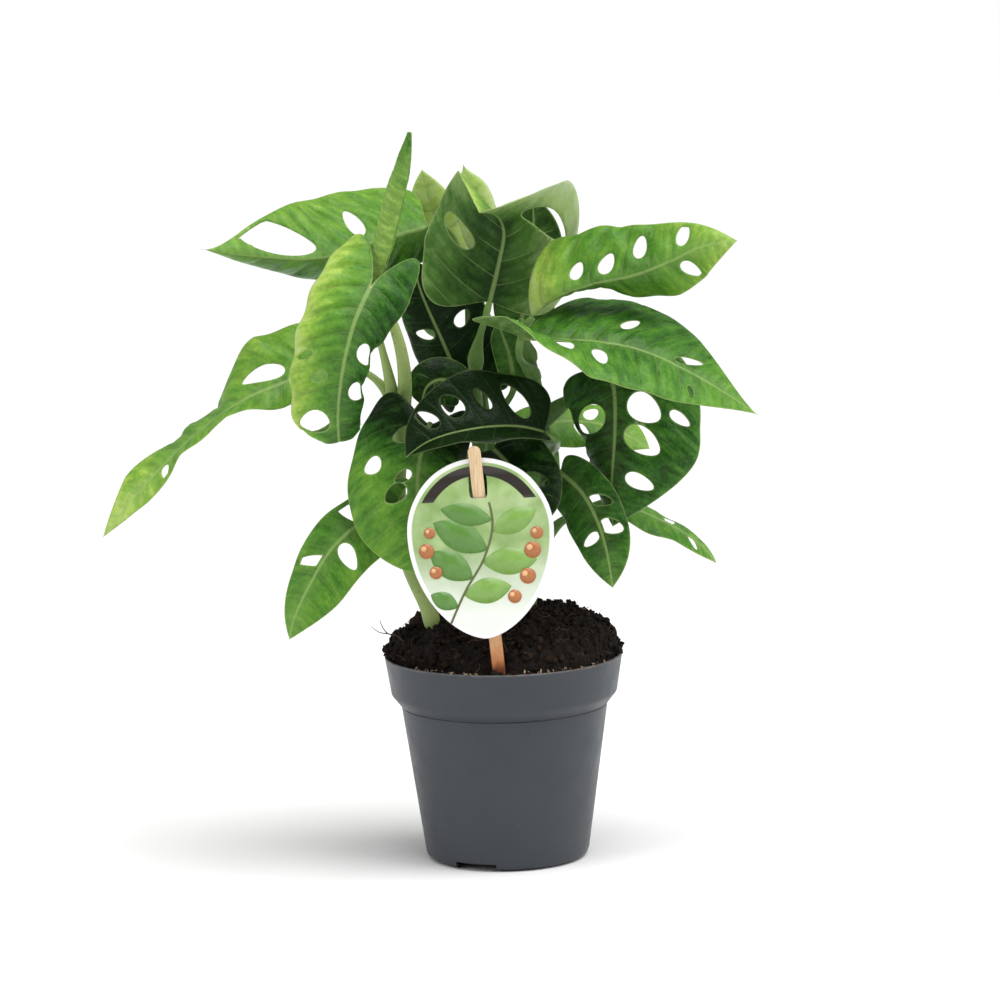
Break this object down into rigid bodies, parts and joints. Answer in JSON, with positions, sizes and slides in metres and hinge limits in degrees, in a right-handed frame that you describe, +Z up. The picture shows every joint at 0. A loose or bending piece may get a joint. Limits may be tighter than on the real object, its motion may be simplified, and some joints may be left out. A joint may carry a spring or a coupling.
{
  "type": "swiss cheese vine in a nursery pot",
  "caption": "Young Monstera adansonii with perforated, pointed leaves on arching stalks, standing in soil in a round blue-grey nursery pot with an egg-shaped label on a wooden stick.",
  "frame": {"origin": "middle of the pot's underside, on the surface that it stands on", "axes": "+Z up, -Y towards the label and the camera, +X to the right of the picture"},
  "size_m": [0.3274, 0.1669, 0.3707],
  "materials": {
    "pot": "satin blue-grey moulded plastic",
    "soil": "damp, dark peaty compost with rusty fibres",
    "stem": "smooth, slightly waxy green stem",
    "leaf_light": "glossy young leaf, yellow-green",
    "leaf_mid": "slightly glossy green leaf",
    "leaf_dark": "slightly glossy deep green leaf",
    "label_stick": "bare pale wood, stained at the foot",
    "label_card": "printed card, green fading to white"
  },
  "bodies": {
    "root": {"label_card": "label_card", "label_stick": "label_stick", "leaf_back_left": "leaf_mid", "leaf_back_low": "leaf_mid", "leaf_back_right": "leaf_dark", "leaf_back_top": "leaf_light", "leaf_behind_label": "leaf_dark", "leaf_behind_right": "leaf_light", "leaf_centre_left": "leaf_mid", "leaf_far_left": "leaf_mid", "leaf_front_left": "leaf_light", "leaf_inner_left": "leaf_dark", "leaf_inner_low": "leaf_mid", "leaf_inner_right": "leaf_light", "leaf_low_left": "leaf_mid", "leaf_low_right": "leaf_dark", "leaf_lower_right": "leaf_dark", "leaf_over_label": "leaf_dark", "leaf_right": "leaf_mid", "leaf_thin_right": "leaf_mid", "leaf_top": "leaf_mid", "leaf_top_back": "leaf_mid", "leaf_upper_left": "leaf_mid", "leaf_upper_right": "leaf_light", "pot": "pot", "rolled_leaf": "leaf_light", "soil": "soil", "stem_back": "stem", "stem_centre": "stem", "stem_left": "stem", "stem_right": "stem"}
  },
  "joints": []
}
